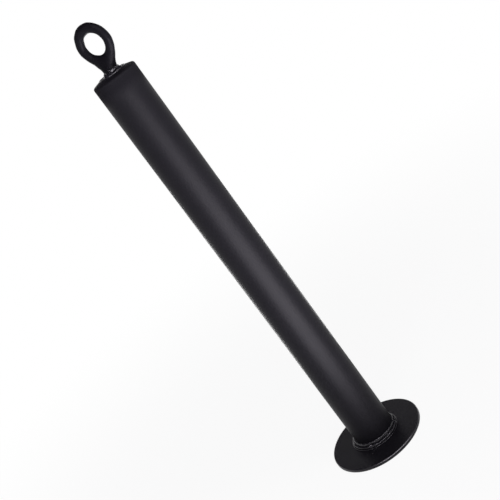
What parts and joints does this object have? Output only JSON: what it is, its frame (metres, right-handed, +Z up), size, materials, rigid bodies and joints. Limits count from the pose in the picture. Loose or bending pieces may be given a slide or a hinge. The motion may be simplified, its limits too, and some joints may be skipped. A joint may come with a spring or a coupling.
{
  "type": "weight plate pin",
  "caption": "Upright steel loading post on a round base plate, its top closed by a sloped plug with a welded ring eye, for stacking and hanging bored weight plates.",
  "frame": {"origin": "middle of the base plate's underside, on the floor", "axes": "+Z up along the post towards the eye, +X along the eye's ring, +Y through the eye's hole"},
  "size_m": [0.11, 0.11, 0.5485],
  "materials": {
    "powder_coat": "fine matt black powder coat over drawn and turned steel",
    "powder_coat_forged": "matt black powder coat over a forging, slightly uneven",
    "powder_coat_weld": "matt black powder coat, a little glossier where it pools on weld ripples"
  },
  "bodies": {
    "root": {"base_plate": "powder_coat", "post_tube": "powder_coat", "end_plug": "powder_coat", "plug_weld": "powder_coat", "lifting_eye": "powder_coat_forged", "base_weld": "powder_coat_weld", "eye_weld": "powder_coat_weld"}
  },
  "joints": []
}
